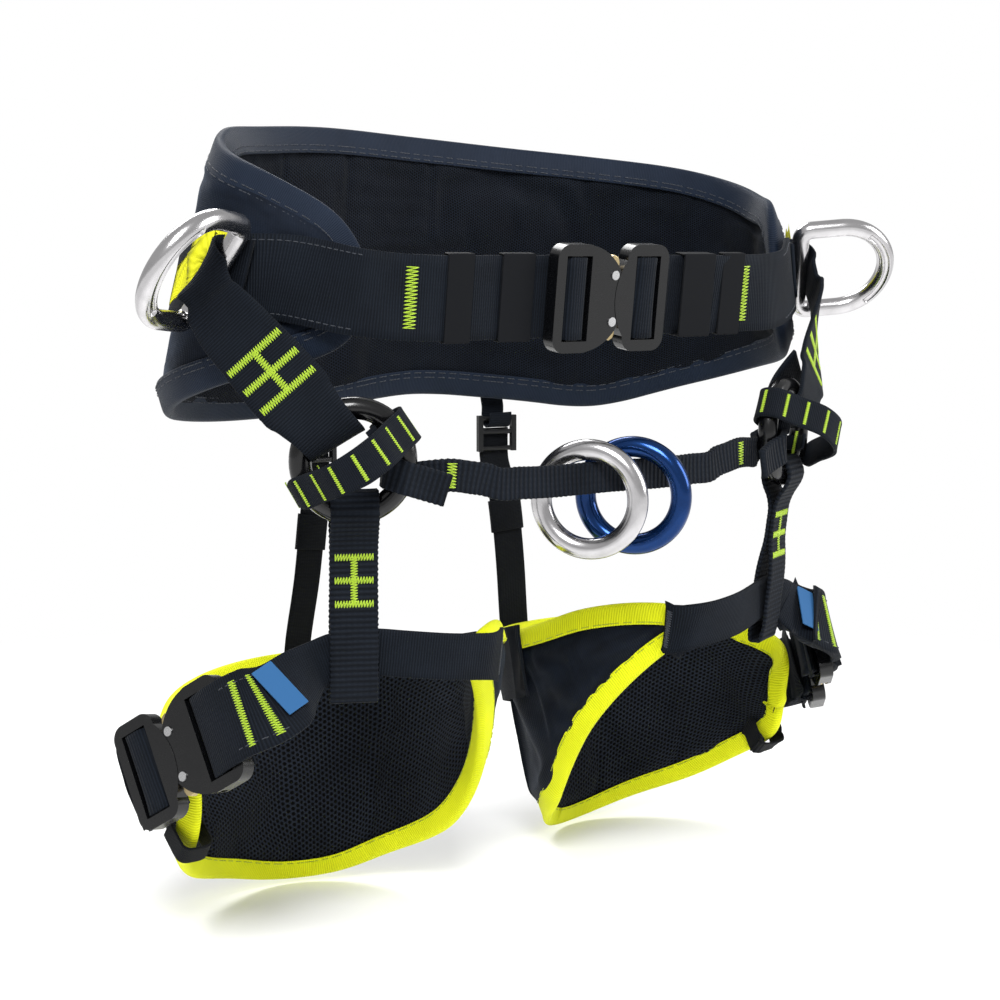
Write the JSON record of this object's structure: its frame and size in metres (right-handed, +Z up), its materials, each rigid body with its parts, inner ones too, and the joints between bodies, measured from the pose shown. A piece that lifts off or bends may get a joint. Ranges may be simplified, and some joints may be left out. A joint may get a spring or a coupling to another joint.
{
  "type": "tree climbing saddle",
  "caption": "Padded tree climbing saddle with a quick-release waist belt, two swinging leg loops, side D rings and sliding rings on a webbing bridge.",
  "frame": {"origin": "middle of the waist opening, at the height of the side D rings' bars", "axes": "+X towards the wearer's left, +Y towards the wearer's back, +Z up"},
  "size_m": [0.5332, 0.243, 0.4602],
  "materials": {
    "foam": "matt",
    "shell_fabric": "woven, slight sheen",
    "mesh_liner": "fine mesh",
    "edge_binding": "woven tape, slight sheen",
    "webbing": "ribbed weave",
    "soft_keeper": "matt",
    "tab_yellow": "woven tape",
    "ring_black": "gloss",
    "buckle_black": "gloss",
    "rivet_steel": "satin",
    "lever_brass": "satin",
    "ring_silver": "polished",
    "ring_blue": "anodised",
    "leg_shell": "woven",
    "leg_mesh": "open air mesh",
    "trim_yellow": "grosgrain tape",
    "label_blue": "woven, blank",
    "elastic": "matt elastic",
    "slider_black": "matt"
  },
  "bodies": {
    "belt": {"waist_foam": "foam", "waist_shell": "shell_fabric", "waist_liner": "mesh_liner", "waist_binding": "edge_binding", "belt_web": "webbing", "web_keepers": "soft_keeper", "d_tabs": "tab_yellow", "hip_webs": "webbing", "hip_rings": "ring_black", "gear_loops": "webbing", "bridge_web": "webbing", "waist_socket": "buckle_black", "waist_rivets": "rivet_steel", "waist_springs": "rivet_steel", "rear_tabs": "webbing"},
    "waist_plug": {"waist_plug": "buckle_black", "waist_plug_web": "webbing"},
    "waist_lever_upper": {"waist_lever_upper": "lever_brass"},
    "waist_lever_lower": {"waist_lever_lower": "lever_brass"},
    "side_d_right": {"side_d_right": "ring_silver"},
    "side_d_left": {"side_d_left": "ring_silver"},
    "ring_silver": {"ring_silver": "ring_silver"},
    "ring_blue": {"ring_blue": "ring_blue"},
    "leg_right": {"leg_foam_right": "foam", "leg_shell_right": "leg_shell", "leg_liner_right": "leg_mesh", "leg_binding_right": "trim_yellow", "leg_band_right": "webbing", "riser_right": "webbing", "leg_socket_right": "buckle_black", "leg_rivets_right": "rivet_steel", "leg_springs_right": "rivet_steel", "leg_label_right": "label_blue", "leg_keeper_right": "elastic", "rear_strap_right": "elastic", "rear_slider_right": "slider_black"},
    "leg_plug_right": {"leg_plug_right": "buckle_black", "leg_plug_web_right": "webbing"},
    "leg_lever_upper_right": {"leg_lever_upper_right": "lever_brass"},
    "leg_lever_lower_right": {"leg_lever_lower_right": "lever_brass"},
    "leg_left": {"leg_foam_left": "foam", "leg_shell_left": "leg_shell", "leg_liner_left": "leg_mesh", "leg_binding_left": "trim_yellow", "leg_band_left": "webbing", "riser_left": "webbing", "leg_socket_left": "buckle_black", "leg_rivets_left": "rivet_steel", "leg_springs_left": "rivet_steel", "leg_label_left": "label_blue", "leg_keeper_left": "elastic", "rear_strap_left": "elastic", "rear_slider_left": "slider_black"},
    "leg_plug_left": {"leg_plug_left": "buckle_black", "leg_plug_web_left": "webbing"},
    "leg_lever_upper_left": {"leg_lever_upper_left": "lever_brass"},
    "leg_lever_lower_left": {"leg_lever_lower_left": "lever_brass"}
  },
  "joints": [
    {"name": "waist_buckle_release", "type": "slide", "parent": "belt", "child": "waist_plug", "axis": [1, 0, 0], "range_m": [0, 0.018]},
    {"name": "waist_lever_upper_press", "type": "hinge", "parent": "belt", "child": "waist_lever_upper", "pos_m": [-0.0005, -0.10455, 0.00091], "axis": [0, -0.9929, -0.1191], "range_deg": [-9, 0], "stiffness_Nm_per_rad": 0.03},
    {"name": "waist_lever_lower_press", "type": "hinge", "parent": "belt", "child": "waist_lever_lower", "pos_m": [-0.0005, -0.10145, -0.02491], "axis": [0, -0.9929, -0.1191], "range_deg": [0, 9], "stiffness_Nm_per_rad": 0.03},
    {"name": "side_d_right_swing", "type": "hinge", "parent": "belt", "child": "side_d_right", "pos_m": [-0.21165, -0.03719, 0.00157], "axis": [0.3616, -0.4236, 0.8306], "range_deg": [-20, 20]},
    {"name": "side_d_left_swing", "type": "hinge", "parent": "belt", "child": "side_d_left", "pos_m": [0.21165, -0.03719, 0.00157], "axis": [-0.3616, -0.4236, 0.8306], "range_deg": [-20, 20]},
    {"name": "ring_silver_run", "type": "slide", "parent": "belt", "child": "ring_silver", "axis": [1, 0, 0], "range_m": [-0.04, 0.005]},
    {"name": "ring_blue_run", "type": "slide", "parent": "belt", "child": "ring_blue", "axis": [1, 0, 0], "range_m": [-0.005, 0.036]},
    {"name": "leg_loop_right_swing", "type": "hinge", "parent": "belt", "child": "leg_right", "pos_m": [-0.156, -0.083, -0.096], "axis": [-0.4431, -0.8965, 0], "range_deg": [-5, 6]},
    {"name": "leg_buckle_right_release", "type": "slide", "parent": "leg_right", "child": "leg_plug_right", "axis": [-0.3866, 0.7613, -0.5205], "range_m": [0, 0.018]},
    {"name": "leg_lever_upper_right_press", "type": "hinge", "parent": "leg_right", "child": "leg_lever_upper_right", "pos_m": [-0.2347, -0.02622, -0.2412], "axis": [-0.9214, -0.3423, 0.1838], "range_deg": [0, 9], "stiffness_Nm_per_rad": 0.03},
    {"name": "leg_lever_lower_right_press", "type": "hinge", "parent": "leg_right", "child": "leg_lever_lower_right", "pos_m": [-0.23371, -0.04054, -0.26288], "axis": [-0.9214, -0.3423, 0.1838], "range_deg": [-9, 0], "stiffness_Nm_per_rad": 0.03},
    {"name": "leg_loop_left_swing", "type": "hinge", "parent": "belt", "child": "leg_left", "pos_m": [0.156, -0.083, -0.096], "axis": [0.4431, -0.8965, 0], "range_deg": [-6, 5]},
    {"name": "leg_buckle_left_release", "type": "slide", "parent": "leg_left", "child": "leg_plug_left", "axis": [0.5443, 0.6659, -0.5102], "range_m": [0, 0.018]},
    {"name": "leg_lever_upper_left_press", "type": "hinge", "parent": "leg_left", "child": "leg_lever_upper_left", "pos_m": [0.23678, -0.02595, -0.24096], "axis": [0.8208, -0.5483, 0.1602], "range_deg": [-9, 0], "stiffness_Nm_per_rad": 0.03},
    {"name": "leg_lever_lower_left_press", "type": "hinge", "parent": "leg_left", "child": "leg_lever_lower_left", "pos_m": [0.23228, -0.03911, -0.26293], "axis": [0.8208, -0.5483, 0.1602], "range_deg": [0, 9], "stiffness_Nm_per_rad": 0.03}
  ]
}
